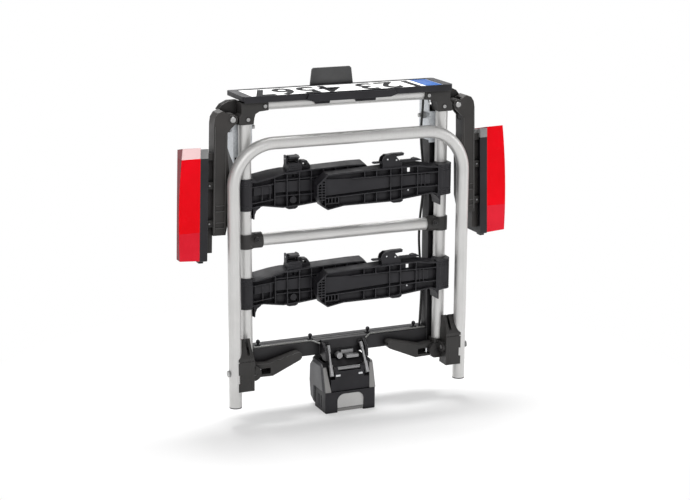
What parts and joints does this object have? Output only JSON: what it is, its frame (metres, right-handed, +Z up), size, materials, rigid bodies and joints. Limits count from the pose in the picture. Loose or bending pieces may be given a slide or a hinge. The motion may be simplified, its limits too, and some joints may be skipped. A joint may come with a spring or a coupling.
{
  "type": "hitch bike rack",
  "caption": "Foldable towball bicycle rack, folded upright, with a U-shaped carrying bar, folding wheel rails, swing-out rear lamps and a number plate holder.",
  "frame": {"origin": "on the floor, under the middle of the folded rack's outline", "axes": "+X to the right across the rack, +Y away from the U bar towards the chassis arms, +Z up"},
  "size_m": [0.8488, 0.139, 0.828],
  "materials": {
    "aluminium_tube": "satin, clear anodised",
    "galvanised_sheet": "bright zinc plated",
    "bright_steel": "zinc plated",
    "black_coated_metal": "black powder coat",
    "black_plastic": "fine moulded grain",
    "black_frame_plastic": "satin moulded",
    "grey_plastic": "satin moulded",
    "grey_cover_plastic": "satin moulded",
    "silver_cup": "cast, satin",
    "red_lens": "clear red, moulded",
    "white_plate": "retroreflective film",
    "printed_board": "solder mask",
    "cable_jacket": "smooth",
    "bush_polymer": "sliding polymer"
  },
  "bodies": {
    "chassis": {"cross_beam": "black_coated_metal", "side_arm_left": "black_coated_metal", "side_arm_right": "black_coated_metal", "pivot_bushes": "bush_polymer", "cable_clips": "black_plastic", "guide_rods": "bright_steel", "coupling_body": "silver_cup", "coupling_cover": "black_plastic", "ball_cup": "silver_cup", "side_covers": "grey_cover_plastic", "lever_pin": "bright_steel", "yoke": "black_coated_metal", "yoke_hardware": "bright_steel", "chassis_cable": "cable_jacket"},
    "platform": {"side_tubes": "aluminium_tube", "top_cross_tube": "aluminium_tube", "middle_cross_tube": "aluminium_tube", "tee_clamps": "black_frame_plastic", "corner_bracket_left": "black_frame_plastic", "corner_bracket_right": "black_frame_plastic", "bracket_screws": "bright_steel", "pivot_plate_left": "galvanised_sheet", "pivot_plate_right": "galvanised_sheet", "pivot_bolts": "bright_steel", "side_bracket_left": "black_frame_plastic", "side_bracket_right": "black_frame_plastic", "bar_bolts": "bright_steel", "lamp_bolts": "bright_steel", "plate_holder": "black_plastic", "number_plate": "white_plate", "plate_lights": "black_plastic", "platform_cable": "cable_jacket", "pedal_springs": "bright_steel"},
    "carrying_bar": {"u_bar": "aluminium_tube", "bar_end_caps": "black_plastic", "bar_locks": "black_frame_plastic"},
    "pedal": {"foot_pedal": "grey_plastic", "pedal_shaft": "bright_steel"},
    "lever": {"coupling_lever": "black_plastic"},
    "jaw": {"clamp_jaw": "bright_steel"},
    "right_lamp": {"lamp_arm_right": "black_frame_plastic", "lamp_housing_right": "black_plastic", "lamp_board_right": "printed_board", "lamp_lens_right": "red_lens"},
    "left_lamp": {"lamp_arm_left": "black_frame_plastic", "lamp_housing_left": "black_plastic", "lamp_board_left": "printed_board", "lamp_lens_left": "red_lens"},
    "upper_right_rail": {"rail_upper_right": "black_plastic", "strap_upper_right": "black_plastic"},
    "upper_right_buckle_lever": {"buckle_lever_upper_right": "black_plastic"},
    "upper_left_rail": {"rail_upper_left": "black_plastic", "strap_upper_left": "black_plastic"},
    "upper_left_buckle_lever": {"buckle_lever_upper_left": "black_plastic"},
    "lower_right_rail": {"rail_lower_right": "black_plastic", "strap_lower_right": "black_plastic"},
    "lower_right_buckle_lever": {"buckle_lever_lower_right": "black_plastic"},
    "lower_left_rail": {"rail_lower_left": "black_plastic", "strap_lower_left": "black_plastic"},
    "lower_left_buckle_lever": {"buckle_lever_lower_left": "black_plastic"}
  },
  "joints": [
    {"name": "tilt", "type": "hinge", "parent": "chassis", "child": "platform", "pos_m": [0, 0.026, 0.704], "axis": [-1, 0, 0], "range_deg": [0, 60]},
    {"name": "bar_swing", "type": "hinge", "parent": "platform", "child": "carrying_bar", "pos_m": [0, -0.0545, 0.133], "axis": [1, 0, 0], "range_deg": [0, 90]},
    {"name": "pedal_press", "type": "hinge", "parent": "platform", "child": "pedal", "pos_m": [0, 0.0415, 0.752], "axis": [-1, 0, 0], "range_deg": [0, 15], "stiffness_Nm_per_rad": 1.5, "springref_deg": -17.19},
    {"name": "right_lamp_swing", "type": "hinge", "parent": "platform", "child": "right_lamp", "pos_m": [0.289, -0.0185, 0.735], "axis": [0, -1, 0], "range_deg": [0, 88.5]},
    {"name": "left_lamp_swing", "type": "hinge", "parent": "platform", "child": "left_lamp", "pos_m": [-0.289, -0.0185, 0.735], "axis": [0, 1, 0], "range_deg": [0, 88.5]},
    {"name": "lever_swing", "type": "hinge", "parent": "chassis", "child": "lever", "pos_m": [0, -0.044, 0.107], "axis": [-1, 0, 0], "range_deg": [0, 70]},
    {"name": "jaw_slide", "type": "slide", "parent": "chassis", "child": "jaw", "axis": [0, 0, -1], "range_m": [0, 0.008]},
    {"name": "upper_right_rail_turn", "type": "hinge", "parent": "platform", "child": "upper_right_rail", "pos_m": [0.254, -0.0175, 0.554], "axis": [0, 0, 1], "range_deg": [0, 45]},
    {"name": "upper_left_rail_turn", "type": "hinge", "parent": "platform", "child": "upper_left_rail", "pos_m": [-0.254, -0.0175, 0.554], "axis": [0, 0, -1], "range_deg": [0, 33.75]},
    {"name": "upper_right_lever_lift", "type": "hinge", "parent": "upper_right_rail", "child": "upper_right_buckle_lever", "pos_m": [0.092, -0.0495, 0.619], "axis": [0, -1, 0], "range_deg": [0, 50]},
    {"name": "upper_left_lever_lift", "type": "hinge", "parent": "upper_left_rail", "child": "upper_left_buckle_lever", "pos_m": [-0.134, -0.0075, 0.629], "axis": [-1, 0, 0], "range_deg": [0, 60]},
    {"name": "lower_right_rail_turn", "type": "hinge", "parent": "platform", "child": "lower_right_rail", "pos_m": [0.254, -0.0175, 0.316], "axis": [0, 0, 1], "range_deg": [0, 45]},
    {"name": "lower_left_rail_turn", "type": "hinge", "parent": "platform", "child": "lower_left_rail", "pos_m": [-0.254, -0.0175, 0.316], "axis": [0, 0, -1], "range_deg": [0, 33.75]},
    {"name": "lower_right_lever_lift", "type": "hinge", "parent": "lower_right_rail", "child": "lower_right_buckle_lever", "pos_m": [0.092, -0.0495, 0.381], "axis": [0, -1, 0], "range_deg": [0, 50]},
    {"name": "lower_left_lever_lift", "type": "hinge", "parent": "lower_left_rail", "child": "lower_left_buckle_lever", "pos_m": [-0.134, -0.0075, 0.391], "axis": [-1, 0, 0], "range_deg": [0, 60]}
  ],
  "couplings": [
    {"joint": "jaw_slide", "follows": "lever_swing", "m_per_rad": 0.006547},
    {"joint": "upper_left_rail_turn", "follows": "upper_right_rail_turn", "ratio": 0.75},
    {"joint": "lower_left_rail_turn", "follows": "lower_right_rail_turn", "ratio": 0.75}
  ]
}
